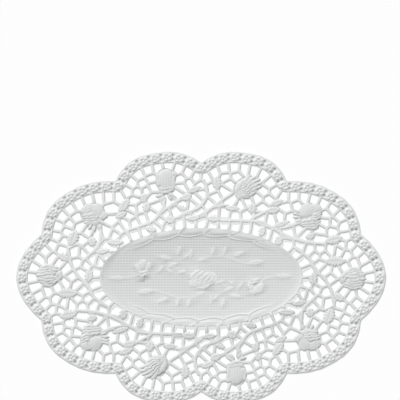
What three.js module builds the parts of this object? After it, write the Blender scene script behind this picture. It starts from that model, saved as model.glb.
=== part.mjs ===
// Oval paper doily: one sheet of white paper, die cut and embossed as lace.
// Millimetres, +Z up, the long axis along X. The origin is the middle of the underside.
//
// The sheet lies flat. Its rim is ten round scallops, mirrored about both axes. Just inside
// the braided border a row of gaps follows the rim, one between each two radial bars: they
// are the largest gaps of the lace. A rose that reaches into the row closes the gaps it covers.

import * as THREE from 'three';

// Driving dimensions
const PAPER_THICKNESS = 1.5; // the paper with its embossing
const BORDER_WIDTH = 11.6; // rim to the near side of the row of gaps
const GAP_DEPTH = 9.8; // length of a gap, measured towards the middle
const BAR_WIDTH = 3; // radial bar between two gaps
const GAP_CORNER = 1.3; // how far each corner of a gap is cut off
const ROSE_CLEARANCE = 3; // paper kept round a rose
const RIM_STEPS = 18; // straight pieces along one scallop
const PATH_STEPS = 60; // fine steps for measuring lengths along one scallop
const FAN_STEPS = 10; // fine steps round one side of a cusp

// A quarter of the rim, anticlockwise from the right tip. A scallop runs from one cusp to the
// next. bulge is the rise of its crown over the line between them, fullness is 2 for a plain
// bow and more for square shoulders, lean tips the crown to the start (-) or the end (+).
// gaps is the number of places for a gap under it.
const SCALLOPS = {
	side: { from: [ 160, - 43.5 ], to: [ 160, 43.5 ], bulge: 25, fullness: 2, lean: 0, gaps: 9 },
	corner: { from: [ 160, 43.5 ], to: [ 86, 96.5 ], bulge: 18.5, fullness: 2.4, lean: - 0.2, gaps: 9 },
	top: { from: [ 86, 96.5 ], to: [ 0, 115 ], bulge: 19, fullness: 2.7, lean: - 0.1, gaps: 9 },
};

// The roses of the upper half; the others follow by a half turn.
const ROSES = [
	{ at: [ - 108, 63 ], radius: 12.5 },
	{ at: [ - 35.5, 97 ], radius: 12.5 },
	{ at: [ 45, 89.5 ], radius: 13 },
	{ at: [ 109, 62 ], radius: 11.5 },
	{ at: [ 152.6, - 1 ], radius: 12 },
];

// The same scallop in the left half, still running anticlockwise.
function mirrored( row ) {

	return {
		...row,
		from: [ - row.to[ 0 ], row.to[ 1 ] ],
		to: [ - row.from[ 0 ], row.from[ 1 ] ],
		lean: - row.lean,
	};

}

function halfTurned( row ) {

	return { ...row, from: row.from.map( v => - v ), to: row.to.map( v => - v ) };

}

// All ten scallops, anticlockwise from the right tip.
function wholeRim() {

	const { side, corner, top } = SCALLOPS;
	const half = [ side, corner, top, mirrored( top ), mirrored( corner ) ];
	return [ ...half, ...half.map( halfTurned ) ];

}

// Point on a scallop, u from 0 at its start to 1 at its end: the straight line between the
// cusps, pushed outwards by bulge * (1 - |t|^fullness) * (1 + lean * t), where t = 2u - 1.
function rimPoint( row, u ) {

	const start = new THREE.Vector2( ...row.from );
	const chord = new THREE.Vector2( ...row.to ).sub( start );
	const outwards = new THREE.Vector2( chord.y, - chord.x ).normalize();
	const t = 2 * u - 1;
	const push = row.bulge * ( 1 - Math.abs( t ) ** row.fullness ) * ( 1 + row.lean * t );
	return start.addScaledVector( chord, u ).addScaledVector( outwards, push );

}

// Unit vector square to the rim, pointing into the paper.
function rimInwards( row, u ) {

	const small = 1e-4;
	const ahead = rimPoint( row, Math.min( u + small, 1 ) );
	const along = ahead.sub( rimPoint( row, Math.max( u - small, 0 ) ) ).normalize();
	return new THREE.Vector2( - along.y, along.x );

}

function turned( vector, angle ) {

	return vector.clone().rotateAround( new THREE.Vector2( 0, 0 ), angle );

}

// Rays from the rim into the paper for one scallop: half of the fan round its first cusp,
// then one ray square to the rim at each step, then half of the fan round its last cusp.
function raysOf( rim, index ) {

	const row = rim[ index ];
	const before = rim[ ( index + rim.length - 1 ) % rim.length ];
	const after = rim[ ( index + 1 ) % rim.length ];
	const first = rimInwards( row, 0 );
	const last = rimInwards( row, 1 );
	const firstFan = Math.abs( first.angleTo( rimInwards( before, 1 ) ) ) / 2;
	const lastFan = Math.abs( last.angleTo( rimInwards( after, 0 ) ) ) / 2;
	const rays = [];
	for ( let i = FAN_STEPS; i > 0; i -- ) {

		rays.push( { foot: rimPoint( row, 0 ), inwards: turned( first, firstFan * i / FAN_STEPS ) } );

	}

	for ( let i = 0; i <= PATH_STEPS; i ++ ) {

		const u = i / PATH_STEPS;
		rays.push( { foot: rimPoint( row, u ), inwards: rimInwards( row, u ) } );

	}

	for ( let i = 1; i <= FAN_STEPS; i ++ ) {

		rays.push( { foot: rimPoint( row, 1 ), inwards: turned( last, - lastFan * i / FAN_STEPS ) } );

	}

	return rays;

}

const atDepth = ( ray, depth ) => ray.foot.clone().addScaledVector( ray.inwards, depth );

// Distance along the row of gaps, at its middle depth, up to each ray.
function lengthsAlong( rays, depth ) {

	const lengths = [ 0 ];
	for ( let i = 1; i < rays.length; i ++ ) {

		const step = atDepth( rays[ i ], depth ).distanceTo( atDepth( rays[ i - 1 ], depth ) );
		lengths.push( lengths[ i - 1 ] + step );

	}

	return lengths;

}

// The point at a distance along the row and a depth from the rim.
function rowPoint( rays, lengths, along, depth ) {

	const next = Math.max( 1, lengths.findIndex( length => length >= along ) );
	const share = ( along - lengths[ next - 1 ] ) / ( lengths[ next ] - lengths[ next - 1 ] );
	return atDepth( rays[ next - 1 ], depth ).lerp( atDepth( rays[ next ], depth ), share );

}

function coveredByRose( point ) {

	return ROSES.some( ( { at, radius } ) => [ 1, - 1 ].some( sign => {

		const centre = new THREE.Vector2( sign * at[ 0 ], sign * at[ 1 ] );
		return centre.distanceTo( point ) < radius + ROSE_CLEARANCE;

	} ) );

}

// The gaps under one scallop: equal lengths of the row, less half a bar at each end, each a
// four-sided hole with its corners cut off.
function gapsOf( rim, index ) {

	const rays = raysOf( rim, index );
	const middle = BORDER_WIDTH + GAP_DEPTH / 2;
	const lengths = lengthsAlong( rays, middle );
	const pitch = lengths[ lengths.length - 1 ] / rim[ index ].gaps;
	const gaps = [];
	for ( let i = 0; i < rim[ index ].gaps; i ++ ) {

		const left = i * pitch + BAR_WIDTH / 2;
		const right = ( i + 1 ) * pitch - BAR_WIDTH / 2;
		if ( coveredByRose( rowPoint( rays, lengths, ( left + right ) / 2, middle ) ) ) continue;

		const near = BORDER_WIDTH;
		const far = BORDER_WIDTH + GAP_DEPTH;
		const corners = [
			[ left, near + GAP_CORNER ], [ left + GAP_CORNER, near ],
			[ right - GAP_CORNER, near ], [ right, near + GAP_CORNER ],
			[ right, far - GAP_CORNER ], [ right - GAP_CORNER, far ],
			[ left + GAP_CORNER, far ], [ left, far - GAP_CORNER ],
		];
		gaps.push( corners.map( ( [ along, depth ] ) => rowPoint( rays, lengths, along, depth ) ) );

	}

	return gaps;

}

function sheetShape() {

	const rim = wholeRim();
	const outline = rim.flatMap( row =>
		Array.from( { length: RIM_STEPS }, ( _, i ) => rimPoint( row, i / RIM_STEPS ) ) );
	const shape = new THREE.Shape( outline );
	shape.holes = rim.flatMap( ( _, index ) => gapsOf( rim, index ) ).map( gap => new THREE.Path( gap ) );
	return shape;

}

const whitePaper = new THREE.MeshStandardMaterial( { color: 0xf1f2f4, roughness: 0.85, metalness: 0 } );

const sheet = new THREE.Mesh(
	new THREE.ExtrudeGeometry( sheetShape(), { depth: PAPER_THICKNESS, bevelEnabled: false } ),
	whitePaper,
);
sheet.name = 'doily';

const doily = new THREE.Group();
doily.add( sheet );

export default doily;
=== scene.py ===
"""Oval paper doily, lying flat and seen from straight above.

The doily is one sheet of white paper, die cut and embossed. It has a scalloped rim with a braided
border, a net of bars with roses, leaves and stems, and a closed oval centre with a linen grain.

The sheet is worked out on a flat grid as three fields: how far a place lies inside the paper, how
high the embossed face stands there, and how high the underside stands. The mesh is cut from the grid
where the first field is nought. The lace is worked out for the upper half and repeated by a half
turn. Sizes are in millimetres until the mesh is made; x runs along the oval, y across it, z up.
"""

import bpy
import numpy as np
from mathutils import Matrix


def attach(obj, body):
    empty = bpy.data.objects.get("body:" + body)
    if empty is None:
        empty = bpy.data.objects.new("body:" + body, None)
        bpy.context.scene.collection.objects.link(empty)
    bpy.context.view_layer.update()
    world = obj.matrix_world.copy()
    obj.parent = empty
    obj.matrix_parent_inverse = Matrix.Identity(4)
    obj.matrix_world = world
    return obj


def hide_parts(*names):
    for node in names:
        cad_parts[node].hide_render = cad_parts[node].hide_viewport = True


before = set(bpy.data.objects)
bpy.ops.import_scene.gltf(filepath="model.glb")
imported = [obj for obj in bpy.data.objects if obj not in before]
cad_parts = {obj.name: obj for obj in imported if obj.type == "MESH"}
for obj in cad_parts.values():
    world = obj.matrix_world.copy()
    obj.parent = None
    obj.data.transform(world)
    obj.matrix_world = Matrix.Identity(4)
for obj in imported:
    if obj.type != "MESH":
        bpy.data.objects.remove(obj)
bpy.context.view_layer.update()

# The grid and the mesh. The outline crosses the side of a cell no nearer to its ends than LEAST_CUT of
# it, and edges that turn by more than SHARP_ANGLE degrees are sharp.
CELL = 0.4
GRID_HALF_LENGTH = 187.2
GRID_HALF_WIDTH = 128.0
MOST_TRIANGLES = 190000
SHARP_ANGLE = 60
LEAST_CUT = 0.08
TINY = 1e-6

# The rim, a quarter of it, anticlockwise from the right tip. bulge is the rise of a crown over the
# line between its cusps, fullness is 2 for a plain bow and more for square shoulders, lean tips the
# crown to the start (-) or the end (+).
SCALLOPS = {
    "side": dict(start=(160.0, -43.5), end=(160.0, 43.5), bulge=25.0, fullness=2.0, lean=0.0),
    "corner": dict(start=(160.0, 43.5), end=(86.0, 96.5), bulge=18.5, fullness=2.4, lean=-0.2),
    "top": dict(start=(86.0, 96.5), end=(0.0, 115.0), bulge=19.0, fullness=2.7, lean=-0.1),
}

# Steps along one scallop, on one side of the fan round a cusp, and round an oval
RIM_STEPS = 36
FAN_STEPS = 10
OVAL_STEPS = 720

# The border, with a notch in the rim between every two knots of its braid, and the half length and
# half width of the centre
BORDER_WIDTH = 11.6
NOTCH = 0.25
NOTCH_REACH = 3.0
CENTRE = (101.5, 49.4)

# The bars of the net. FLANGE is the width of the low strip left along each side of a bar, and FILLET
# that over which bars blend into other paper. A gap narrower than twice SLIVER is filled where paper
# then reaches SLIVER_RIM all round, which spares the sharp corners of wide gaps.
BAR_WIDTH = 3.4
STEM_WIDTH = 3.4
FLANGE = 0.10
FILLET = 0.4
SLIVER = 0.8
SLIVER_RIM = 1.2

# The middles of the gaps, in the order in which they are offered. least is the least distance from
# those kept before, clear that from other paper, offset that of a ring or row from what it follows.
GAPS_PER_SCALLOP = 9
FIRST_ROW = dict(depth=16.5, least=6.0, clear=1.6)
ROSE_RINGS = dict(offset=6.0, pitch=10.2, least=7.6, clear=2.0)
CENTRE_RING = dict(offset=5.2, pitch=11.2, least=6.8, clear=1.2)
SECOND_ROW = dict(depth=27.0, least=8.0, clear=2.2)
STEM_SIDES = dict(offset=5.4, pitch=10.0, least=7.6, clear=2.0)
LEAF_RINGS = dict(offset=4.4, pitch=10.0, least=7.6, clear=2.0)
THIRD_ROW = dict(depth=37.0, least=8.0, clear=2.0)
STRAYS = [dict(count=9000, least=8.6, clear=1.8), dict(count=6000, least=7.2, clear=1.4)]
STRAY_BOX = ((-185, -1), (185, 126))
SEED = 7

# Leaves of the upper half: x, y, length, width, turn in degrees
LEAVES = [
    (-77, 71.5, 18, 9.5, 55), (-80, 62, 12.5, 7.5, 25), (-128, 39, 18, 11.5, 68), (-109, 35.5, 10.5, 9, 100),
    (-85.5, 35, 18, 7.5, 0), (-137.5, 20, 14, 8, -35), (-112, 1.5, 14, 9, 90), (-98, 26, 15, 7, 10),
    (-57, 79, 11.5, 7.5, 95), (-54.5, 70, 11.5, 8.5, 80), (-7, 87.5, 15, 7.5, 22), (-14.6, 80, 11.5, 9, 20),
    (16, 94, 15, 9.5, 95), (31, 69, 15, 7, -5), (51, 69, 12.5, 9.5, 80), (12.6, 58.5, 15, 8, -8),
    (-8, 59, 15, 7, 5), (-31, 57.5, 11.5, 9.5, -20), (-19, 69, 11.5, 5.5, -25), (-50, 48, 12.5, 7, -15),
    (75, 74, 16, 8, 22), (72, 67, 14, 8.5, 5), (80, 53, 19, 6.5, 18), (61, 46, 11.5, 8, 85),
    (77.6, 37, 11.5, 8.5, 100), (109, 41, 10.5, 8, 10), (132.6, 37.5, 19, 10.5, 12), (134, 16, 22, 11, 0),
]

# Stems of the upper half, each a line of places
STEMS = [
    [(-71, 47.5), (-50, 55), (-39, 65), (-27, 74), (-16.5, 79.4)],
    [(-36.5, 79), (-37.5, 70), (-43.5, 61.3)],
    [(-21, 61.5), (-15, 64.5), (-3, 68.9), (4.5, 77.5), (6, 87.5), (2.5, 97)],
    [(-2, 61), (8, 68), (18, 71), (27, 71)],
    [(1, 61), (14, 72), (31, 83.5)],
    [(20, 57), (59, 55.5), (67, 51.5), (85.4, 41.5), (103.5, 35.2), (124.5, 33)],
    [(73, 49), (86, 50), (99, 54.5)],
    [(95, 28.5), (100, 25), (106, 20.5), (112, 14.5)],
    [(-133, 27.5), (-128.4, 9.3), (-118, -4), (-111, -13)],
    [(-116.5, 17.5), (-103, 31), (-100.5, 40), (-100.5, 51)],
    [(-133, 29), (-124, 33), (-118, 31)],
    [(50, 58), (62, 64), (69, 68)],
]

# Petals of each rose, in its own axes and from back to front: x, y, length, width, turn in degrees,
# bend (rise of the two ends over the middle), wave (height of the ripple along it), height
OPEN_ROSE = [
    (-3, -13, 7, 3, 250, 0, 0, 0.6), (1.5, -14, 7, 3, 275, 0, 0, 0.6), (6, -13, 7, 3, 300, 0, 0, 0.6),
    (10, -9, 7, 3, 320, 0, 0, 0.6), (10, -2, 9, 8.5, 40, 0, 0, 0.6),
    (0, -8, 18, 6, 8, 0.8, 0, 0.7), (-1, -5.4, 14, 4, 10, 0.8, 0.2, 0.8),
    (-2, -3.0, 16, 3.8, 9, 0.8, 0.3, 0.9), (-3, -0.6, 17, 3.8, 8, 0.8, 0.3, 0.9),
    (4.5, 4.6, 14, 12, -50, 0, 0, 0.5), (-5.4, 4.8, 13, 10, 25, 0, 0, 0.6),
]
FRONT_ROSE = [
    (-6, -15.5, 9, 3, 25, 0, 0, 0.6), (6.5, -15.5, 9, 3, -25, 0, 0, 0.6),
    (-3, -18, 7, 3, 60, 0, 0, 0.5), (4, -18, 7, 3, 120, 0, 0, 0.5),
    (8.6, 5.6, 7, 5, 70, 0, 0, 0.5), (7.6, -1.5, 13, 6, 84, -1.2, 0, 0.4),
    (-7.4, 0, 13, 6.2, 93, 1.2, 0, 0.4), (0, 0.8, 20, 15.5, 90, 0, 0, 0.55),
    (0.5, -8.4, 18, 5, 0, 2.2, 0, 0.7), (1.6, -11.0, 15, 4.4, 5, 1.8, 0, 0.8),
]
CUP_ROSE = [
    (-8, -4.6, 12, 9, -30, 0, 0, 0.6), (-6, -6.4, 14, 4.4, -34, 0.6, 0.2, 0.7),
    (-1.5, -6.6, 21, 4.2, -15, 1.0, 0.3, 0.8),
    (1.5, -4.6, 26, 4.2, -8, 0.8, 0.4, 0.9), (2.5, -2.2, 29, 4.2, -1, 0.5, 0.5, 1.0),
    (2.6, 0.3, 29, 4.4, 6, 0, 0.4, 1.0), (1, 2.9, 27, 5, 12, -0.8, 0.3, 0.9),
    (-1, 5.2, 23, 5.6, 20, -1.2, 0.2, 0.8), (-6, 3.4, 15, 6.5, 42, -0.6, 0, 0.8),
]
DOMED_ROSE = [
    (-13, 4.0, 8, 2.6, 176, 0, 0, 0.5), (-13, 1.0, 8, 2.6, 183, 0, 0, 0.5),
    (-13, -2.2, 8, 2.6, 188, 0, 0, 0.5), (-12, -5.4, 8, 2.6, 200, 0, 0, 0.5),
    (2, -12.6, 14, 3.6, 6, 1.0, 0.2, 0.7), (1, -10.2, 19, 3.8, 6, 0.9, 0.3, 0.8),
    (0, -7.8, 21, 4, 8, 0.8, 0.4, 0.9), (-0.5, -5.2, 20, 4, 8, 0.8, 0.4, 0.9),
    (6.3, 7.0, 11, 9, -50, 0, 0, 0.8), (6.4, -2.8, 12, 3.8, 14, 0.7, 0.3, 0.9),
    (7, -0.4, 11, 3.6, 16, 0.7, 0.3, 0.9), (6.6, 2.0, 11, 3.6, 14, 0.7, 0.3, 0.9),
    (-3.4, 4.4, 16, 14, 40, 0, 0, 0.8),
]
WIDE_ROSE = [
    (-10.4, 0.5, 12, 6.5, 84, -1.0, 0, 0.7), (-0.5, -8.8, 19, 3.8, 0, 0.8, 0.3, 0.8),
    (0, -6.2, 22, 3.8, -2, 0.8, 0.3, 0.9), (1.5, -3.6, 20, 4, -2, 0.5, 0.4, 0.9),
    (3, -1.0, 19, 4, 3, 0.3, 0.4, 1.0), (0, 1.6, 23, 4.2, 2, -0.3, 0.4, 0.9),
    (1.5, 4.2, 20, 4, 0, -0.8, 0.3, 0.9), (-0.5, 6.9, 19, 4.4, 2, -1.6, 0.2, 0.8),
    (0.5, 9.0, 13, 3.4, 0, -1.0, 0.2, 0.7),
]

# Roses of the upper half: x, y, half length, half width, turn in degrees, petals
ROSES = [
    (-108, 63, 12.8, 11.2, 0, OPEN_ROSE), (-35.5, 97, 10.5, 12, 0, FRONT_ROSE),
    (45, 89.5, 13.5, 10.8, 27, CUP_ROSE), (109, 62, 11, 12.4, 0, DOMED_ROSE),
    (152.6, -1.5, 12, 10.8, 0, WIDE_ROSE),
]

# The low spray in the centre. Leaves and stems are those of the upper half. Petals are in the axes of
# the sheet, with the columns of the roses.
SPRAY_LEAVES = [
    (-83, -1, 17, 5, 0), (-55, -14.5, 17, 6, 8), (-38, -23, 12, 5, 22), (-23.5, -25.5, 11, 4.4, 75),
    (-12, -25.5, 10, 4.4, 72), (22, -26, 11, 4.4, 70), (10, -23, 11, 4.4, 85), (19, -5, 11, 4, 15),
    (28, -12, 12, 4.4, 25), (35, -19, 12, 5, -12), (-0.5, -16.8, 9, 3.6, 15), (14, -21, 8, 3.4, 40),
    (-31, 6, 9, 3.6, -35), (40, -8, 9, 3.6, 50),
]
SPRAY_STEMS = [
    [(2, -18), (-10, -20.5), (-24, -20.5)], [(-24, -20.5), (-40, -15), (-47, -13)],
    [(-28, 11), (-18, 5), (-8, 2)], [(-74, -1), (-66, 1), (-60, 4)],
]
SPRAY_PETALS = [
    (2.5, -3, 30, 16, 12, 0, 0, 1.0), (-6, 3, 13, 5, 38, 0, 0, 1.0), (-2, 1.5, 15, 4.4, 40, 0, 0, 1.1),
    (2, 0, 16, 4.4, 40, 0, 0, 1.2), (6, -1.5, 15, 4.4, 40, 0, 0, 1.1), (9.5, -4, 12, 4.6, 42, 0, 0, 1.0),
    (4, -9, 19, 4.6, 18, 0.8, 0, 1.0),
    (-58, 13, 11, 8, 60, 0, 0, 0.9), (-63, 9, 9, 6, 120, 0, 0, 0.8), (-53, 10, 10, 6, 60, 0, 0, 0.8),
    (-58, 5.5, 13, 3.4, 0, 0.8, 0.4, 0.9), (-57, 2.5, 11, 3, 5, 0.8, 0.4, 0.8),
    (55, -13, 14, 8, 10, 0, 0, 0.9), (50, -9, 9, 6, 120, 0, 0, 0.8), (60, -10, 9, 6, 60, 0, 0, 0.8),
    (52, -5, 12, 3.2, 0, 0.8, 0.4, 0.9), (54, -2.5, 10, 3, -5, 0.8, 0.4, 0.8),
]

# Heights over the underside. The centre is a dish, its edge raised by DISH * r^DISH_POWER, where r is 1
# at the edge, and the lace falls from there to the border by (1 - share of the way)^FALL_POWER.
PAPER = 0.25
LEAST_PAPER = 0.2
DISH = 2.5
DISH_POWER = 2.7
FALL_POWER = 4
BAR_HEIGHT = 0.55
STEM_HEIGHT = 0.72
LEAF_HEIGHT = 0.95
ROSE_HEIGHT = 1.65
BORDER_LIFT = 0.75
CORD_HEIGHT = 0.70
KNOT_HEIGHT = 0.95
SPRAY_HEIGHT = 0.45
GARLAND_HEIGHT = 0.85

# Bars and stems are flat-topped ridges. A share UNDER_LEAF of their height shows through a leaf.
RIDGE_POWER = 0.28
BLEND = 0.2
UNDER_LEAF = 0.4

# The leaves. Teeth and veins are shares of their half width and height.
LEAF_POWER = 0.8
LEAF_TOOTH = 0.14
TOOTH_PITCH = 3.1
LEAF_FLANK = 0.8
MIDRIB_DEPTH = 0.22
MIDRIB_WIDTH = 0.45
VEIN = 0.08
VEIN_SLANT = 0.8

# The petals. They sway along and across their rose by slow sines, whose rates are in radians for each
# millimetre. Broad petals have fine ribs. ROSE_SHADE is the share of the painted shade of a hollow that
# is painted over a rose, for the shade of its fine creases.
SWAY_ALONG = 0.4
SWAY_ALONG_RATE = 0.55
SWAY_ACROSS = 0.6
SWAY_ACROSS_RATE = 0.40
SHIVER_RATES = (1.05, 0.6)
WAVE_RATE = 0.75
PETAL_POWER = 0.6
PETAL_FOOT = 0.25
PETAL_MARGIN = 0.3
PETAL_CREASE = 0.12
RIBBED_WIDTH = 6.0
RIB_PITCH = 2.6
RIB_HEIGHT = 0.12
RIB_FADE = 0.4
ROSE_BODY = 0.45
ROSE_SLOPE = 1.6
ROSE_FLANK = 0.8
ROSE_SHADE = 0.22

# How far round a motif its field and its relief are worked out, and how far from the middle of a rose
MOTIF_REACH = 4.0
RELIEF_REACH = 1.0
ROSE_REACH = 24.0

# The garland along the edge of the centre. The neck and the swell of a puff are shares of the width.
GARLAND_WIDTH = 8.7
GARLAND_PITCH = 28.5
GARLAND_START = 5.0
GARLAND_LEAN = 0.36
GARLAND_END = 86.0
GARLAND_FADE = 34.0
PUFF_NECK = 0.70
PUFF_SWELL = 0.30
PUFF_FLANK = 2.6
PUFF_FOOT = 0.35
PUFF_RISE = 0.35
STRAND_HEIGHT = 0.2
STRAND_WIDTH = 0.7
RIDGE_HEIGHT = 0.65
RIDGE_WIDTH = 0.9
RIDGE_BLEND = 0.1

# The cord along the edge of the centre
EDGE_CORD_AT = 1.0
EDGE_CORD_HALF = 1.2
EDGE_CORD_HEIGHT = 0.30

# The stems of the spray, and the share over which its petals rise from their outline
SPRAY_STEM_HALF = 0.9
SPRAY_STEM_RISE = 0.35
SPRAY_CREASE = 0.15

# The braid of the border. Pits and cords are pairs of a depth under the rim and a radius.
KNOTS_PER_SCALLOP = 8
BRAID_DEPTH = 6.1
BAND_FLANK = 2.5
FLOWER_RADIUS = 3.2
FLOWER_PETALS = 5
PETAL_WIDTH = 1.0
HEART_WIDTH = 1.1
HEART_HEIGHT = 0.8
JOINT_WIDTH = 0.7
JOINT_DEPTH = 0.4
PITS = ((3.9, 1.2), (8.4, 1.2))
PIT_FLANK = 0.4
CORDS = ((1.1, 1.2), (10.7, 1.0))
CORD_BLEND = 0.15
BORDER_OVERLAP = 0.5

# The flank of the relief at a cut edge, and the hollow side of the relief on the underside
EDGE_OFFSET = 0.1
EDGE_FLANK = 0.45
UNDERSIDE_ROUNDS = 3
UNDERSIDE_SHARE = 0.9
UNDERSIDE_DROP = 0.05

# The painted shade of the hollows: rounds of softening, the fall below the softened face that counts
# as a full hollow, and the width of the painted dark strip along a cut edge. The colour is multiplied
# by the greys, which paints shade into the hollows and cut edges and into the linen centre.
HOLLOW_ROUNDS = 6
HOLLOW_FALL = 0.25
HOLLOW_STRIP = 0.6
HOLLOW_SHADE_GREY = 0.72
LINEN_SHADE_GREY = 0.93

# The linen grain of the centre, and the painted shade that darkens the centre with it: how much weaker
# it is on the garland, where and over what width it fades, and, in metres, the distances between its
# ribs and between those that cross them
LESS_ON_GARLAND = 0.5
GARLAND_STRIP = 2.0
LINEN_EDGE = 0.5
LINEN_FADE = 5.0
SPRAY_FADE = 0.35
RIBS_APART = 0.00268
CROSS_RIBS_APART = 0.0029
CROSS_RIBS_SHARE = 0.7


# The rim

def mirrored(row):
    """The same scallop in the left half, still running anticlockwise."""
    return dict(row, start=(-row["end"][0], row["end"][1]), end=(-row["start"][0], row["start"][1]),
                lean=-row["lean"])


def half_turned(row):
    """The same scallop turned by half a turn about the middle."""
    return dict(row, start=(-row["start"][0], -row["start"][1]), end=(-row["end"][0], -row["end"][1]))


def whole_rim():
    """All ten scallops, anticlockwise from the right tip."""
    side, corner, top = SCALLOPS.values()
    half = [side, corner, top, mirrored(top), mirrored(corner)]
    return half + [half_turned(row) for row in half]


def rim_points(row, u):
    """Places on a scallop, u from 0 at its start to 1 at its end: the straight line between the cusps,
    pushed outwards by bulge * (1 - |t|^fullness) * (1 + lean * t), where t = 2u - 1."""
    start = np.array(row["start"])
    chord = np.array(row["end"]) - start
    outwards = np.array([chord[1], -chord[0]]) / np.hypot(*chord)
    t = 2.0 * u - 1.0
    push = row["bulge"] * (1.0 - np.abs(t) ** row["fullness"]) * (1.0 + row["lean"] * t)
    return start + u[:, None] * chord + push[:, None] * outwards


def rim_inwards(row, u):
    """Unit vectors square to the rim, pointing into the paper."""
    small = 1e-4
    along = rim_points(row, np.minimum(u + small, 1.0)) - rim_points(row, np.maximum(u - small, 0.0))
    along /= np.hypot(along[:, 0], along[:, 1])[:, None]
    return np.stack([-along[:, 1], along[:, 0]], axis=1)


def turned(vectors, angles):
    """Vectors turned anticlockwise, the angles in radians."""
    c = np.cos(angles)
    s = np.sin(angles)
    x, y = vectors[..., 0], vectors[..., 1]
    return np.stack([x * c - y * s, x * s + y * c], axis=-1)


def lengths_of(path):
    """Length along a line at each of its places."""
    return np.concatenate([[0.0], np.cumsum(np.hypot(*np.diff(path, axis=0).T))])


def scallop_line(rim, index, depth):
    """The line at a depth under one scallop: half of a fan round its first cusp, then places square to
    the rim, then half of the fan round its last cusp."""
    row = rim[index]
    first = rim_inwards(row, np.array([0.0]))[0]
    last = rim_inwards(row, np.array([1.0]))[0]
    before = rim_inwards(rim[index - 1], np.array([1.0]))[0]
    after = rim_inwards(rim[(index + 1) % len(rim)], np.array([0.0]))[0]
    first_fan = np.arccos(np.dot(first, before)) / 2
    last_fan = np.arccos(np.dot(last, after)) / 2
    u = np.linspace(0.0, 1.0, RIM_STEPS + 1)
    steps = np.arange(1, FAN_STEPS + 1) / FAN_STEPS
    feet = rim_points(row, u)
    feet = np.concatenate([np.repeat(feet[:1], FAN_STEPS, 0), feet, np.repeat(feet[-1:], FAN_STEPS, 0)])
    first_rays = turned(first[None], first_fan * steps[::-1])
    last_rays = turned(last[None], -last_fan * steps)
    inwards = np.concatenate([first_rays, rim_inwards(row, u), last_rays])
    return feet + inwards * depth


def spaced(path, count, shift=0.0):
    """Places on a line, count of them at equal lengths along it, each moved on by shift."""
    lengths = lengths_of(path)
    at = (np.arange(count) + 0.5) * lengths[-1] / count + shift
    return np.stack([np.interp(at, lengths, path[:, k]) for k in (0, 1)], 1)


def places_under_rim(depth, count):
    """Places at a depth under the rim, count to a scallop, at equal lengths along that line."""
    rim = whole_rim()
    return np.concatenate([spaced(scallop_line(rim, index, depth), count) for index in range(len(rim))])


# Plain fields

def smooth_max(a, b, blend):
    """The larger of two fields, plus blend / 4 * (1 - their difference / blend)^2 where they differ by
    less than blend, which fills the crease between them."""
    overlap = np.clip(blend - np.abs(a - b), 0.0, None) / blend
    return np.maximum(a, b) + blend * overlap ** 2 / 4.0


def smooth_step(t):
    """0 below 0, 1 above 1, and 3t^2 - 2t^3 between."""
    t = np.clip(t, 0.0, 1.0)
    return t * t * (3.0 - 2.0 * t)


def dome(away, half, height, power=0.5):
    """A rounded ridge: height * (1 - (away / half)^2)^power."""
    return height * np.clip(1.0 - (away / half) ** 2, 0.0, None) ** power


def nearest_on(px, py, path):
    """Distance from each place to an open line, and the length along it of the nearest point."""
    best = np.full(px.shape, np.inf)
    along = np.zeros(px.shape)
    for (ax, ay), (bx, by), start in zip(path[:-1], path[1:], lengths_of(path)[:-1]):
        dx, dy = bx - ax, by - ay
        squared = max(dx * dx + dy * dy, TINY ** 2)
        t = np.clip(((px - ax) * dx + (py - ay) * dy) / squared, 0.0, 1.0)
        gap = (px - ax - t * dx) ** 2 + (py - ay - t * dy) ** 2
        closer = gap < best
        best = np.where(closer, gap, best)
        along = np.where(closer, start + t * np.sqrt(squared), along)
    return np.sqrt(best), along


def bowed(points, steps=6):
    """A smooth line through the given places. Between two of them, b and c, with the neighbours a and d,
    it is the cubic that leaves b along c - a and reaches c along d - b."""
    p = np.array(points, float)
    p = np.concatenate([[2 * p[0] - p[1]], p, [2 * p[-1] - p[-2]]])
    t = (np.arange(steps) / steps)[:, None]
    parts = []
    for a, b, c, d in zip(p[:-3], p[1:-2], p[2:-1], p[3:]):
        parts.append(0.5 * (2 * b + (c - a) * t + (2 * a - 5 * b + 4 * c - d) * t ** 2
                            + (3 * b - a - 3 * c + d) * t ** 3))
    return np.concatenate(parts + [p[-2:-1]])


def in_axes_of(px, py, x, y, turn):
    """Coordinates along and across something that stands at x, y and is turned by turn degrees."""
    c = np.cos(np.radians(turn))
    s = np.sin(np.radians(turn))
    return (px - x) * c + (py - y) * s, (py - y) * c - (px - x) * s


def leaf_field(u, v, length, width):
    """How far inside a leaf a place lies. With the half length a and the half width b, its edge is at
    b * (1 - (u / a)^2)^power * (1 + tooth * cos(2 pi u / tooth pitch))."""
    a = length / 2
    half = width / 2 * np.clip(1 - (u / a) ** 2, 0, None) ** LEAF_POWER
    half = half * (1 + LEAF_TOOTH * np.cos(2 * np.pi * u / TOOTH_PITCH))
    beyond = np.clip(np.abs(u) - a, 0, None)
    return np.where(beyond > 0, -np.hypot(beyond, v), half - np.abs(v))


def oval_field(u, v, a, b):
    """About how far inside an oval with half axes a and b a place lies: (1 - q) / (the slope of q), where
    q = sqrt((u / a)^2 + (v / b)^2)."""
    speck = 1e-9
    q = np.sqrt((u / a) ** 2 + (v / b) ** 2) + speck
    slope = np.sqrt((u / a ** 2) ** 2 + (v / b ** 2) ** 2) / q + speck
    return (1 - q) / slope


def both(rows):
    """Rows of the upper half, then the same rows given a half turn. x, y come first and turn fifth."""
    return list(rows) + [(-r[0], -r[1], *r[2:4], r[4] + 180, *r[5:]) for r in rows]


def both_lines(lines):
    """Smooth lines through the places of the upper half, then the same lines given a half turn."""
    return [bowed(line) for line in lines] + [-bowed(line) for line in lines]


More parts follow.
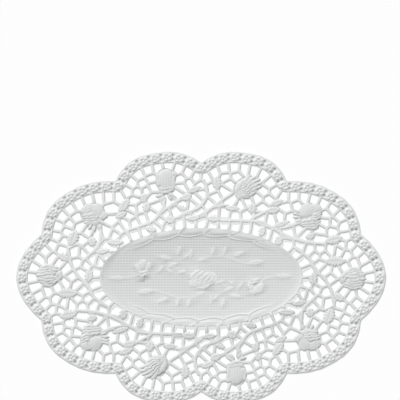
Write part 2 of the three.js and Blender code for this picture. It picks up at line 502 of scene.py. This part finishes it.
def rim_depth(px, py):
    """How far inside the rim each place lies. A place is inside when a line to the left crosses the rim
    an odd number of times."""
    line = np.concatenate([rim_points(row, np.arange(RIM_STEPS) / RIM_STEPS) for row in whole_rim()])
    line = np.concatenate([line, line[:1]])
    away = nearest_on(px, py, line)[0]
    inside = np.zeros(px.shape, bool)
    for (ax, ay), (bx, by) in zip(line[:-1], line[1:]):
        if ay != by:
            inside ^= ((ay > py) != (by > py)) & (px < (bx - ax) * (py - ay) / (by - ay) + ax)
    return np.where(inside, away, -away)


# Motifs

def petal_fields(px, py, rose):
    """For each petal of a rose, from back to front: how far inside its oval outline each place lies, the
    share s = 1 - (2u / length)^2 - (2v / width)^2, and its rise, height * s^power, with fine ribs
    cos(2 pi v / rib pitch) along a broad one. The axis of the oval is bent by bend * ((2u / length)^2
    - 1/2) and rippled by wave * sin(rate * u), and all the petals of a rose sway by sines of the place."""
    x, y, _, _, turn, petals = rose
    u0, v0 = in_axes_of(px, py, x, y, turn)
    u0 = u0 + SWAY_ALONG * np.sin(SWAY_ALONG_RATE * v0 + x)
    shiver = np.sin(SHIVER_RATES[0] * u0 + SHIVER_RATES[1] * v0)
    v0 = v0 + SWAY_ACROSS * np.sin(SWAY_ACROSS_RATE * u0 + y) + SWAY_ACROSS / 2 * shiver
    for mx, my, length, width, tilt, bend, wave, height in petals:
        u, v = in_axes_of(u0, v0, mx, my, tilt)
        v = v - bend * ((2 * u / length) ** 2 - 0.5) - wave * np.sin(WAVE_RATE * u)
        share = np.clip(1 - (2 * u / length) ** 2 - (2 * v / width) ** 2, 0, None)
        rise = height * share ** PETAL_POWER
        if width > RIBBED_WIDTH:
            rise = rise + RIB_HEIGHT * np.cos(2 * np.pi * v / RIB_PITCH) * smooth_step(share / RIB_FADE)
        yield oval_field(u, v, length / 2, width / 2), share, rise


def rose_outline(px, py, rose):
    """How far inside a rose each place lies: its oval joined with its petals and a narrow margin."""
    x, y, a, b, turn, _ = rose
    field = oval_field(*in_axes_of(px, py, x, y, turn), a, b)
    for inside, _, _ in petal_fields(px, py, rose):
        field = np.maximum(field, inside + PETAL_MARGIN)
    return field


def near(px, py, places, margin=MOTIF_REACH):
    """Which of the places px, py lie in the upright box round some others, widened by a margin."""
    low, high = np.min(places, 0) - margin, np.max(places, 0) + margin
    return (px > low[0]) & (px < high[0]) & (py > low[1]) & (py < high[1])


def motif_field(px, py):
    """How far inside the leaves, stems and roses of the lace each place lies, down to -MOTIF_REACH."""
    field = np.full(px.shape, -MOTIF_REACH)
    for x, y, length, width, turn in both(LEAVES):
        here = near(px, py, [(x, y)], length / 2 + MOTIF_REACH)
        inside = leaf_field(*in_axes_of(px[here], py[here], x, y, turn), length, width)
        field[here] = np.maximum(field[here], inside)
    for line in both_lines(STEMS):
        here = near(px, py, line, STEM_WIDTH / 2 + MOTIF_REACH)
        field[here] = np.maximum(field[here], STEM_WIDTH / 2 - nearest_on(px[here], py[here], line)[0])
    for rose in both(ROSES):
        here = near(px, py, [rose[:2]], ROSE_REACH)
        field[here] = np.maximum(field[here], rose_outline(px[here], py[here], rose))
    return field


def leaf_relief(u, v, length, width):
    """A leaf rises from its edge by 1 - e^(-f / flank), where f is the distance inside. It has a groove
    depth * e^(-(v / width)^2) along its midrib, and weak side veins that lean from it to the tip,
    vein * cos(2 pi (u + slant * |v|) / tooth pitch)."""
    inside = np.clip(leaf_field(u, v, length, width), 0, None)
    midrib = MIDRIB_DEPTH * np.exp(-(v / MIDRIB_WIDTH) ** 2)
    veins = VEIN * np.cos(2 * np.pi * (u + VEIN_SLANT * np.abs(v)) / TOOTH_PITCH)
    return 1 - np.exp(-inside / LEAF_FLANK) - (midrib - veins) * smooth_step(inside)


def raise_stems(height, px, py, lines, half, rise, power=0.5):
    """Blends stems into the given height, each a ridge."""
    for line in both_lines(lines):
        here = near(px, py, line)
        stem = dome(nearest_on(px[here], py[here], line)[0], half, rise, power)
        height[here] = smooth_max(height[here], stem, BLEND)


def rose_relief(px, py, rose):
    """A low body with the petals laid over it from back to front. Each petal, its foot + body / 2 +
    rise / 2, hides what is under it, and falls to its outline, so that a crease shows round it."""
    x, y, a, b, turn, _ = rose
    u, v = in_axes_of(px, py, x, y, turn)
    body = ROSE_BODY * smooth_step(ROSE_SLOPE - ROSE_SLOPE * np.hypot(u / a, v / b))
    height = body
    for _, share, rise in petal_fields(px, py, rose):
        petal = PETAL_FOOT + 0.5 * body + 0.5 * rise
        height = height + (petal - height) * smooth_step(share / PETAL_CREASE)
    return height


# The net

def ring_of_places(x, y, a, b, turn, pitch):
    """Places on an oval ring, an even number of them at equal lengths, none at its two tips."""
    t = np.linspace(0, 2 * np.pi, OVAL_STEPS + 1)
    ring = np.stack([a * np.cos(t), b * np.sin(t)], 1)
    count = 2 * int(round(lengths_of(ring)[-1] / pitch / 2))
    return turned(spaced(ring, count), np.radians(turn)) + [x, y]


def beside_line(points, offset, pitch):
    """Pairs of places on both sides of a line, at equal lengths along it. Its direction at a place is
    that from half a millimetre behind to half a millimetre ahead."""
    path = bowed(points)
    count = max(1, int(round(lengths_of(path)[-1] / pitch)))
    place = spaced(path, count)
    along = spaced(path, count, 0.5) - spaced(path, count, -0.5)
    along /= np.hypot(along[:, 0], along[:, 1])[:, None]
    square = np.stack([-along[:, 1], along[:, 0]], 1) * offset
    return np.concatenate([place + square, place - square])


def gap_middles():
    """Middles of the gaps of the net. They are offered in turn: a row under the border, rings round roses
    and centre, a second row, rows beside stems, rings round leaves, a third row, then seeded random
    places. Each is kept if it is clear of other paper and of those kept before, and its half-turned
    twin with it. Returns the places, and which of them keep their place later."""
    kept = []
    fixed = []

    def offer(places, row, stays=False):
        x, y = places.T
        good = rim_depth(x, y) > BORDER_WIDTH + row["clear"]
        good &= motif_field(x, y) < -row["clear"]
        good &= oval_field(x, y, *CENTRE) < -row["clear"]
        for x, y in places[good]:
            have = np.array(kept + [(-x, -y)])
            if np.min(np.hypot(have[:, 0] - x, have[:, 1] - y)) >= row["least"]:
                kept.extend([(x, y), (-x, -y)])
                fixed.extend([stays, stays])

    def upper(places):
        return places[places[:, 1] > -TINY]

    def under_rim(row):
        return upper(places_under_rim(row["depth"], GAPS_PER_SCALLOP))

    def ring(x, y, a, b, turn, row):
        return ring_of_places(x, y, a + row["offset"], b + row["offset"], turn, row["pitch"])

    offer(under_rim(FIRST_ROW), FIRST_ROW, True)
    for x, y, a, b, turn, _ in ROSES:
        offer(ring(x, y, a, b, turn, ROSE_RINGS), ROSE_RINGS)
    offer(upper(ring(0, 0, *CENTRE, 0, CENTRE_RING)), CENTRE_RING, True)
    offer(under_rim(SECOND_ROW), SECOND_ROW)
    for line in STEMS:
        offer(beside_line(line, STEM_SIDES["offset"], STEM_SIDES["pitch"]), STEM_SIDES)
    for x, y, length, width, turn in LEAVES:
        offer(ring(x, y, length / 2, width / 2, turn, LEAF_RINGS), LEAF_RINGS)
    offer(under_rim(THIRD_ROW), THIRD_ROW)
    chance = np.random.default_rng(SEED)
    for row in STRAYS:
        offer(chance.uniform(*STRAY_BOX, (row["count"], 2)), row)
    return np.array(kept), np.array(fixed)


def settled(sites, fixed, rounds=3, edge=0.4, reach=(184.0, 126.0), batches=16):
    """Each middle that may move goes to the middle of the open part of its cell, a few times over. The
    open part is counted in whole millimetres, and ends at an edge round motifs, border and centre."""
    cx, cy = np.meshgrid(*[np.arange(-far, far + 1) for far in reach])
    free = oval_field(cx, cy, *CENTRE) < -edge
    free &= rim_depth(cx, cy) > BORDER_WIDTH + edge
    cx, cy = cx[free], cy[free]
    free = motif_field(cx, cy) < -edge
    cx, cy = cx[free], cy[free]
    for _ in range(rounds):
        nearest = []
        for qx, qy in zip(np.array_split(cx, batches), np.array_split(cy, batches)):
            away = (qx[:, None] - sites[:, 0]) ** 2 + (qy[:, None] - sites[:, 1]) ** 2
            nearest.append(np.argmin(away, 1))
        nearest = np.concatenate(nearest)
        count = np.bincount(nearest, minlength=len(sites))
        total = np.stack([np.bincount(nearest, c, len(sites)) for c in (cx, cy)], 1)
        moves = ~fixed & (count > 0)
        sites = np.where(moves[:, None], total / np.maximum(count, 1)[:, None], sites)
        sites[1::2] = -sites[0::2]
    return sites


def distance_to_bars(px, py, sites, blend=0.15, tile=24, reach=19.0, far=9.0):
    """Distance from each place to the nearest line half way between two middles. For the nearest middle
    and another one it is (their squared distances' difference) / (2 * the distance between them). The
    least of these over all others is taken softly: -blend * log(sum(e^(-distance / blend))). The grid is
    done in tiles, each with the middles in its reach, and counts as far where there are none."""
    out = np.full(px.shape, far)
    for i in range(0, px.shape[0], tile):
        for j in range(0, px.shape[1], tile):
            part = (slice(i, i + tile), slice(j, j + tile))
            qx, qy = px[part][..., None], py[part][..., None]
            within = (sites[:, 0] > qx.min() - reach) & (sites[:, 0] < qx.max() + reach)
            within &= (sites[:, 1] > qy.min() - reach) & (sites[:, 1] < qy.max() + reach)
            others = sites[within]
            if len(others) < 2:
                continue
            away = (qx - others[:, 0]) ** 2 + (qy - others[:, 1]) ** 2
            first = np.argmin(away, -1)
            own = others[first]
            apart = np.hypot(own[..., 0:1] - others[:, 0], own[..., 1:2] - others[:, 1])
            least = np.take_along_axis(away, first[..., None], -1)
            gap = (away - least) / np.maximum(2 * apart, TINY)
            gap = np.where(apart < TINY, np.inf, gap)
            out[part] = -blend * np.log(np.sum(np.exp(-gap / blend), -1))
    return np.maximum(out, 0.0)


def spread(field, radius, pick):
    """Greatest or least value of a field within a radius, counted in cells."""
    n = int(radius)
    padded = np.pad(field, n, mode="edge")
    out = field
    for i in range(-n, n + 1):
        for j in range(-n, n + 1):
            if i * i + j * j <= radius ** 2:
                out = pick(out, padded[n + i:n + i + field.shape[0], n + j:n + j + field.shape[1]])
    return out


def softened(field, rounds):
    """The field blurred over its neighbours: weights 1, 2, 1 along each axis, a few times over."""
    for _ in range(rounds):
        for axis in (0, 1):
            size = field.shape[axis]
            first, last = np.take(field, [0], axis), np.take(field, [size - 1], axis)
            wide = np.concatenate([first, field, last], axis)
            before, after = np.take(wide, range(size), axis), np.take(wide, range(2, size + 2), axis)
            field = (before + 2 * field + after) / 4
    return field


# The relief of the lace

def braid_phase(px, py):
    """How many knots along the border each place lies, and the mean length of a knot."""
    rim = whole_rim()
    lines = [scallop_line(rim, index, BRAID_DEPTH) for index in range(len(rim))]
    path = np.concatenate(lines)
    ends = lengths_of(path)[np.cumsum([len(line) for line in lines]) - 1]
    along = nearest_on(px, py, path)[1]
    phase = np.interp(along, np.concatenate([[0.0], ends]), KNOTS_PER_SCALLOP * np.arange(len(rim) + 1))
    return phase, ends[-1] / len(rim) / KNOTS_PER_SCALLOP


def braid_relief(px, py, depth):
    """The border, by its depth under the rim and its phase along it, where each whole number is the
    middle of a knot: a raised band with a cord along each side. A knot is a small flower, a round heart
    e^(-(r / heart width)^2) in a ring of petals e^(-((r - flower radius) / petal width)^2) * (0.6 + 0.4
    cos(petals * angle)). A groove e^(-(away / joint width)^2) and two pits lie between two knots."""
    phase, knot_length = braid_phase(px, py)
    middle = (phase - np.round(phase)) * knot_length
    joint = knot_length / 2 - np.abs(middle)
    band = smooth_step(depth / BAND_FLANK) * smooth_step((BORDER_WIDTH - depth) / BAND_FLANK)
    r = np.hypot(middle, depth - BRAID_DEPTH)
    lobes = 0.6 + 0.4 * np.cos(FLOWER_PETALS * np.arctan2(depth - BRAID_DEPTH, middle))
    heart = HEART_HEIGHT * np.exp(-(r / HEART_WIDTH) ** 2)
    flower = np.exp(-((r - FLOWER_RADIUS) / PETAL_WIDTH) ** 2) * lobes + heart
    groove = JOINT_DEPTH * np.exp(-(joint / JOINT_WIDTH) ** 2)
    height = (BORDER_LIFT + KNOT_HEIGHT * flower - groove) * band
    for at, radius in CORDS:
        height = smooth_max(height, dome(depth - at, radius, CORD_HEIGHT), CORD_BLEND)
    for at, radius in PITS:
        height = height * smooth_step((np.hypot(joint, depth - at) - radius) / PIT_FLANK)
    return height


def lace_relief(px, py, depth, bars, centre):
    """Height of the embossing over the plain paper in the lace and the border."""
    height = dome(bars, BAR_WIDTH / 2 - FLANGE, BAR_HEIGHT, RIDGE_POWER)
    raise_stems(height, px, py, STEMS, STEM_WIDTH / 2 - FLANGE, STEM_HEIGHT, RIDGE_POWER)
    for x, y, length, width, turn in both(LEAVES):
        here = near(px, py, [(x, y)], length / 2 + RELIEF_REACH)
        leaf = LEAF_HEIGHT * leaf_relief(*in_axes_of(px[here], py[here], x, y, turn), length, width)
        over = smooth_max(height[here] * UNDER_LEAF, leaf, BLEND)
        height[here] = np.where(leaf > 0, over, height[here])
    for rose in both(ROSES):
        here = near(px, py, [rose[:2]], ROSE_REACH)
        share = smooth_step(rose_outline(px[here], py[here], rose) / ROSE_FLANK)
        height[here] += (ROSE_HEIGHT * rose_relief(px[here], py[here], rose) - height[here]) * share
    within = BORDER_WIDTH + BORDER_OVERLAP - depth
    here = within > 0
    braid = braid_relief(px[here], py[here], depth[here])
    height[here] += (braid - height[here]) * smooth_step(within[here])
    return np.where(centre > 0, 0.0, height)


# The relief of the centre

def garland_share(px):
    """How strong the garland is at each place along the oval."""
    return smooth_step((GARLAND_END - np.abs(px)) / GARLAND_FADE)


def garland_relief(px, py, centre):
    """Puffs like the strands of a rope along the edge of the centre, clear above and below and fading at
    the tips. Each lies between two leaning lines, and swells by bulge, 0 at these lines and 1 half way.
    A ridge e^(-(away / ridge width)^2) runs along the lines and the inner side of the puffs, and a
    strand e^(-(away / strand width)^2) along their middle."""
    t = np.linspace(0, np.pi, OVAL_STEPS + 1)
    arc = np.stack([CENTRE[0] * np.cos(t), CENTRE[1] * np.sin(t)], 1)
    lengths = lengths_of(arc)
    angle = np.arctan2(np.abs(py) / CENTRE[1], np.sign(py) * px / CENTRE[0])
    along = lengths[-1] / 2 - np.interp(angle, t, lengths)
    share = centre / GARLAND_WIDTH
    turn = (along - GARLAND_START) / GARLAND_PITCH - GARLAND_LEAN * (0.5 - share)
    joint = np.abs(turn - np.round(turn)) * GARLAND_PITCH
    bulge = 1 - (1 - 2 * joint / GARLAND_PITCH) ** 2
    inner = GARLAND_WIDTH * (PUFF_NECK + PUFF_SWELL * bulge)
    crown = PUFF_FOOT + PUFF_RISE * bulge * (1 - (2 * share - 1) ** 2)
    puff = smooth_step((inner - centre) / PUFF_FLANK) * crown
    puff = puff + STRAND_HEIGHT * bulge * np.exp(-((centre - inner / 2) / STRAND_WIDTH) ** 2)
    inner_ridge = np.exp(-((centre - inner) / RIDGE_WIDTH) ** 2)
    joint_ridge = np.exp(-(joint / RIDGE_WIDTH) ** 2) * (centre < inner)
    ridge = RIDGE_HEIGHT * np.maximum(inner_ridge, joint_ridge)
    return smooth_max(puff, ridge, RIDGE_BLEND) * garland_share(px)


def spray_relief(px, py):
    """The low spray: thin stems, leaves and petals, each petal a dome, its foot + rise."""
    height = np.zeros(px.shape)
    raise_stems(height, px, py, SPRAY_STEMS, SPRAY_STEM_HALF, SPRAY_STEM_RISE)
    for x, y, length, width, turn in both(SPRAY_LEAVES):
        here = near(px, py, [(x, y)], length / 2 + RELIEF_REACH)
        leaf = leaf_relief(*in_axes_of(px[here], py[here], x, y, turn), length, width)
        height[here] = np.maximum(height[here], leaf)
    for petal in SPRAY_PETALS:
        here = near(px, py, [petal[:2]], petal[2] / 2 + RELIEF_REACH)
        _, share, rise = next(petal_fields(px[here], py[here], (0, 0, 0, 0, 0, [petal])))
        height[here] += (PETAL_FOOT + rise - height[here]) * smooth_step(share / SPRAY_CREASE)
    return height


# The mesh

def in_scene(name, data):
    """A new object of the scene, with the given mesh, light or camera."""
    obj = bpy.data.objects.new(name, data)
    bpy.context.scene.collection.objects.link(obj)
    return obj


def marched(inside, x, y):
    """Cuts the part of a grid where a field is above nought into triangles. Each cell is walked round
    from its lower left corner: a corner inside is kept, and so is the crossing on each side where the
    field changes sign, kept a little off both nodes so that no triangle is a sliver. Returns the places,
    the grid index of each place as a pair of nodes and a share between them, the triangles, and the
    pieces of outline from one crossing to the next."""
    ny, nx = inside.shape
    node = np.arange(ny * nx).reshape(ny, nx)
    within = inside > 0
    ends = [(node[:, :-1], node[:, 1:]), (node[:-1], node[1:])]
    number = np.full(ny * nx, -1)
    number[within.ravel()] = np.arange(within.sum())
    first = [node[within]]
    second = [node[within]]
    share = [np.zeros(within.sum())]
    total = int(within.sum())
    flat = inside.ravel()
    crossing = []
    for low, high in ends:
        cut = (flat[low] > 0) != (flat[high] > 0)
        ids = np.full(low.shape, -1)
        ids[cut] = total + np.arange(cut.sum())
        total += int(cut.sum())
        a, b = low[cut], high[cut]
        first.append(a)
        second.append(b)
        share.append(np.clip(flat[a] / (flat[a] - flat[b]), LEAST_CUT, 1 - LEAST_CUT))
        crossing.append(ids)
    corners = [number[node[:-1, :-1]], number[node[:-1, 1:]], number[node[1:, 1:]], number[node[1:, :-1]]]
    sides = [crossing[0][:-1], crossing[1][:, 1:], crossing[0][1:], crossing[1][:, :-1]]
    case = sum((corners[k] >= 0).astype(int) << k for k in range(4))
    triangles = []
    outline = []
    for mask in range(1, 16):
        here = case == mask
        if not here.any():
            continue
        walk = []
        for k in range(4):
            if mask >> k & 1:
                walk.append(("corner", corners[k][here]))
            if (mask >> k & 1) != (mask >> (k + 1) % 4 & 1):
                walk.append(("side", sides[k][here]))
        for k in range(1, len(walk) - 1):
            triangles.append(np.stack([walk[0][1], walk[k][1], walk[k + 1][1]], 1))
        for (kind, ids), (next_kind, next_ids) in zip(walk, walk[1:] + walk[:1]):
            if kind == next_kind == "side":
                outline.append(np.stack([ids, next_ids], 1))
    first, second, share = np.concatenate(first), np.concatenate(second), np.concatenate(share)
    gx, gy = np.tile(x, ny), np.repeat(y, nx)
    places = np.stack([g[first] + (g[second] - g[first]) * share for g in (gx, gy)], 1)
    return places, (first, second, share), np.concatenate(triangles), np.concatenate(outline)


def at_places(field, places):
    """A field of the grid at the places of the mesh."""
    first, second, share = places
    flat = field.ravel()
    return flat[first] + (flat[second] - flat[first]) * share


def sheet_mesh(name, inside, top, under, x, y):
    """A closed sheet between two faces, with a wall along every cut edge. Sizes come out in metres."""
    places, where, triangles, outline = marched(inside, x, y)
    count = len(places)
    upper = np.column_stack([places, at_places(top, where)])
    lower = np.column_stack([places, at_places(under, where)])
    a, b = outline.T
    walls = np.concatenate([np.stack([a, a + count, b + count], 1), np.stack([a, b + count, b], 1)])
    faces = np.concatenate([triangles, triangles[:, ::-1] + count, walls]).astype(np.int32)
    mesh = bpy.data.meshes.new(name)
    mesh.vertices.add(2 * count)
    mesh.vertices.foreach_set("co", (np.concatenate([upper, lower]) / 1000).astype(np.float32).ravel())
    mesh.loops.add(faces.size)
    mesh.loops.foreach_set("vertex_index", faces.ravel())
    mesh.polygons.add(len(faces))
    mesh.polygons.foreach_set("loop_start", np.arange(0, faces.size, 3, dtype=np.int32))
    mesh.update(calc_edges=True)
    return mesh


def thinned(mesh, most):
    """The same surface with at most the given number of triangles, the flattest places thinned first."""
    obj = in_scene("full", mesh)
    cut = obj.modifiers.new("thin", "DECIMATE")
    cut.ratio = min(1.0, most / len(mesh.polygons))
    bpy.context.view_layer.update()
    seen = obj.evaluated_get(bpy.context.evaluated_depsgraph_get())
    thin = bpy.data.meshes.new_from_object(seen)
    bpy.data.objects.remove(obj)
    bpy.data.meshes.remove(mesh)
    return thin


def looked_up(field, x, y, px, py):
    """A field of the grid at free places, straight between its nodes. The clip ends just before the
    last node, so that each place has a node after it."""
    i = np.clip((px - x[0]) / CELL, 0, len(x) - 1.001)
    j = np.clip((py - y[0]) / CELL, 0, len(y) - 1.001)
    i0, j0 = i.astype(int), j.astype(int)
    s, t = i - i0, j - j0
    low = field[j0, i0] * (1 - s) + field[j0, i0 + 1] * s
    high = field[j0 + 1, i0] * (1 - s) + field[j0 + 1, i0 + 1] * s
    return low * (1 - t) + high * t


def whole(field):
    """The upper half and its half-turned copy below."""
    return np.concatenate([field[:0:-1, ::-1], field])


# The sheet

grid_x = np.arange(-GRID_HALF_LENGTH, GRID_HALF_LENGTH + CELL / 2, CELL)
grid_y = np.arange(-GRID_HALF_WIDTH, GRID_HALF_WIDTH + CELL / 2, CELL)
half_y = np.arange(0.0, GRID_HALF_WIDTH + CELL / 2, CELL)

# The cut outline and the embossing of the lace, worked out for the upper half
px, py = np.meshgrid(grid_x, half_y)
depth = rim_depth(px, py)
centre = oval_field(px, py, *CENTRE)
bars = distance_to_bars(px, py, settled(*gap_middles()))
paper = smooth_max(BAR_WIDTH / 2 - bars, motif_field(px, py), FILLET)
paper = smooth_max(paper, centre, FILLET)
paper = smooth_max(paper, BORDER_WIDTH - depth, FILLET)
paper = whole(paper)
closed = spread(spread(paper, SLIVER / CELL, np.maximum), SLIVER / CELL, np.minimum)
paper = np.maximum(paper, spread(closed, SLIVER_RIM / CELL, np.minimum))
here = np.abs(depth) < NOTCH_REACH
depth[here] -= NOTCH * (1 - np.cos(2 * np.pi * braid_phase(px[here], py[here])[0])) / 2
depth = whole(depth)
paper = np.minimum(softened(paper, 1), depth)
relief = whole(lace_relief(px, py, depth[len(half_y) - 1:], bars, centre))

# The embossing of the centre
px, py = np.meshgrid(grid_x, grid_y)
centre = oval_field(px, py, *CENTRE)
spray = spray_relief(px, py)
cord = dome(centre - EDGE_CORD_AT, EDGE_CORD_HALF, EDGE_CORD_HEIGHT)
middle = GARLAND_HEIGHT * garland_relief(px, py, centre) + SPRAY_HEIGHT * spray
relief = relief + np.where(centre > 0, smooth_max(cord, middle, BLEND), 0.0)
relief = relief * smooth_step((paper + EDGE_OFFSET) / EDGE_FLANK)

# The two faces
round_centre = np.sqrt((px / CENTRE[0]) ** 2 + (py / CENTRE[1]) ** 2)
from_centre = np.clip(-centre, 0, None)
outwards = from_centre / (from_centre + np.clip(depth, 0, None) + TINY)
lift = DISH * np.where(centre > 0, round_centre ** DISH_POWER, (1 - outwards) ** FALL_POWER)
pressed = softened(relief, UNDERSIDE_ROUNDS) * UNDERSIDE_SHARE - UNDERSIDE_DROP
under = lift + np.clip(pressed, 0, None)
top = np.maximum(lift + PAPER + relief, under + LEAST_PAPER)

# How strong the linen grain is, and the painted shade of the linen centre and of the hollows
linen_grain_and_shade = 1 - LESS_ON_GARLAND * garland_share(px) * smooth_step(
    (GARLAND_WIDTH + GARLAND_STRIP - centre) / GARLAND_STRIP)
linen_grain_and_shade = linen_grain_and_shade * smooth_step((centre - LINEN_EDGE) / LINEN_FADE)
linen_grain_and_shade = linen_grain_and_shade * (1 - smooth_step(spray / SPRAY_FADE))
# Painted shade: the paper is darker in the hollows of the relief and along the cut edges, where shade falls.
hollow_shade = smooth_step((softened(relief, HOLLOW_ROUNDS) - relief) / HOLLOW_FALL)
hollow_shade = np.maximum(hollow_shade, smooth_step(1 - paper / HOLLOW_STRIP))
# Painted shade over the roses: darker inside their outlines, standing in for the shade of their fine
# creases.
for rose in both(ROSES):
    here = near(px, py, [rose[:2]], ROSE_REACH)
    shade = ROSE_SHADE * smooth_step(rose_outline(px[here], py[here], rose))
    hollow_shade[here] = np.maximum(hollow_shade[here], shade)

full_mesh = sheet_mesh("doily_sheet", paper, top, under, grid_x, grid_y)
doily = in_scene("doily_sheet", thinned(full_mesh, MOST_TRIANGLES))
mesh = doily.data
corners = np.empty(3 * len(mesh.vertices), np.float32)
mesh.vertices.foreach_get("co", corners)
corners = corners.reshape(-1, 3) * 1000
for name, field in (("linen_grain_and_shade", linen_grain_and_shade), ("hollow_shade", hollow_shade)):
    amounts = looked_up(field, grid_x, grid_y, corners[:, 0], corners[:, 1])
    mesh.attributes.new(name, "FLOAT", "POINT").data.foreach_set("value", amounts.astype(np.float32))
mesh.shade_smooth()
mesh.set_sharp_from_angle(angle=np.radians(SHARP_ANGLE))


# Materials

def new_material(name):
    """A new material, with its nodes, its links and its shader."""
    material = bpy.data.materials.new(name)
    material.use_nodes = True
    nodes = material.node_tree.nodes
    return material, nodes, material.node_tree.links, nodes["Principled BSDF"]


def put(node, values):
    """Sets sockets of a node by their names."""
    for name, value in values.items():
        node.inputs[name].default_value = value


def paper_material():
    """Matt white paper: a slight cloudiness of colour and sheen, painted shade in the linen centre, in the
    hollows, along the cut edges and over the roses, fine fibres, and in the centre the linen grain, clouds *
    (sin(2 pi y / distance of the ribs) + share * sin(2 pi x / distance of the cross ribs))."""
    material, nodes, links, shader = new_material("paper")
    place = nodes.new("ShaderNodeTexCoord").outputs["Object"]

    def noise(scale, detail):
        texture = nodes.new("ShaderNodeTexNoise")
        put(texture, {"Scale": scale, "Detail": detail})
        links.new(place, texture.inputs["Vector"])
        return texture.outputs["Fac"]

    def amount(name):
        attribute = nodes.new("ShaderNodeAttribute")
        attribute.attribute_name = name
        return attribute.outputs["Fac"]

    def maths(operation, first, second=None):
        """One step of arithmetic; each value is a number or the output of another node."""
        step = nodes.new("ShaderNodeMath")
        step.operation = operation
        for socket, value in zip(step.inputs, (first, second)):
            if isinstance(value, (int, float)):
                socket.default_value = value
            elif value is not None:
                links.new(value, socket)
        return step.outputs[0]

    def bump(height, strength, distance):
        node = nodes.new("ShaderNodeBump")
        put(node, {"Strength": strength, "Distance": distance})
        links.new(height, node.inputs["Height"])
        return node

    clouds = noise(90.0, 4.0)
    tone = nodes.new("ShaderNodeMix")
    tone.data_type = "RGBA"
    links.new(clouds, tone.inputs["Factor"])
    put(tone, {"A": (0.885, 0.892, 0.898, 1.0), "B": (0.920, 0.925, 0.929, 1.0)})
    colour = tone.outputs["Result"]
    # Painted shade: the colour is multiplied by a grey in the linen centre and in the hollows, cut edges and
    # roses.
    for name, grey in (("linen_grain_and_shade", LINEN_SHADE_GREY), ("hollow_shade", HOLLOW_SHADE_GREY)):
        strength = amount(name)
        shade_mix = nodes.new("ShaderNodeMix")
        shade_mix.data_type = "RGBA"
        shade_mix.blend_type = "MULTIPLY"
        links.new(strength, shade_mix.inputs["Factor"])
        links.new(colour, shade_mix.inputs["A"])
        put(shade_mix, {"B": (grey, grey, grey, 1.0)})
        colour = shade_mix.outputs["Result"]
    links.new(colour, shader.inputs["Base Color"])
    fibres = noise(1400.0, 3.0)
    sheen = nodes.new("ShaderNodeMapRange")
    links.new(fibres, sheen.inputs["Value"])
    put(sheen, {"To Min": 0.72, "To Max": 0.92})
    links.new(sheen.outputs["Result"], shader.inputs["Roughness"])
    put(shader, {"Specular IOR Level": 0.25})
    axes = nodes.new("ShaderNodeSeparateXYZ")
    links.new(place, axes.inputs[0])
    ribs = maths("SINE", maths("MULTIPLY", axes.outputs["Y"], 2 * np.pi / RIBS_APART))
    cross = maths("SINE", maths("MULTIPLY", axes.outputs["X"], 2 * np.pi / CROSS_RIBS_APART))
    weave = maths("ADD", ribs, maths("MULTIPLY", cross, CROSS_RIBS_SHARE))
    weave = maths("MULTIPLY", weave, amount("linen_grain_and_shade"))
    weave = maths("MULTIPLY", weave, maths("MULTIPLY", clouds, 2.0))
    grain = bump(weave, 1.0, 0.00005)
    tooth = bump(fibres, 0.35, 0.00006)
    links.new(grain.outputs["Normal"], tooth.inputs["Normal"])
    links.new(tooth.outputs["Normal"], shader.inputs["Normal"])
    return material


def floor_material():
    """A plain white studio floor that glows a little, so that it stays white under the soft light."""
    material, _, _, shader = new_material("floor")
    put(shader, {"Base Color": (0.60, 0.60, 0.60, 1.0), "Roughness": 0.9})
    put(shader, {"Emission Color": (1.0, 1.0, 1.0, 1.0), "Emission Strength": 0.497})
    return material


mesh.materials.clear()
mesh.materials.append(paper_material())
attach(doily, "root")
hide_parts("doily")

# The floor, in metres, a little under the sheet

FLOOR_HALF = 1.5
FLOOR_DROP = 0.0002
floor_corners = [(x * FLOOR_HALF, y * FLOOR_HALF, 0) for x, y in ((-1, -1), (1, -1), (1, 1), (-1, 1))]
floor_mesh = bpy.data.meshes.new("floor")
floor_mesh.from_pydata(floor_corners, [], [(0, 1, 2, 3)])
floor = in_scene("floor", floor_mesh)
floor.location.z = -FLOOR_DROP
floor_mesh.materials.append(floor_material())

# Light and camera

world = bpy.data.worlds.new("studio")
world.use_nodes = True
put(world.node_tree.nodes["Background"], {"Color": (1.0, 1.0, 1.0, 1.0), "Strength": 0.31})
bpy.context.scene.world = world

softbox = bpy.data.lights.new("softbox", "SUN")
softbox.energy = 2.70
softbox.angle = np.radians(12)
lamp = in_scene("softbox", softbox)
lamp.rotation_euler = (np.radians(55), 0.0, np.radians(205))

camera = bpy.data.cameras.new("camera")
camera.lens = 144.0
camera.sensor_width = 36.0
eye = in_scene("camera", camera)
eye.location = (-0.001, 0.077, 1.6)
bpy.context.scene.camera = eye
bpy.context.scene.view_settings.view_transform = "Standard"
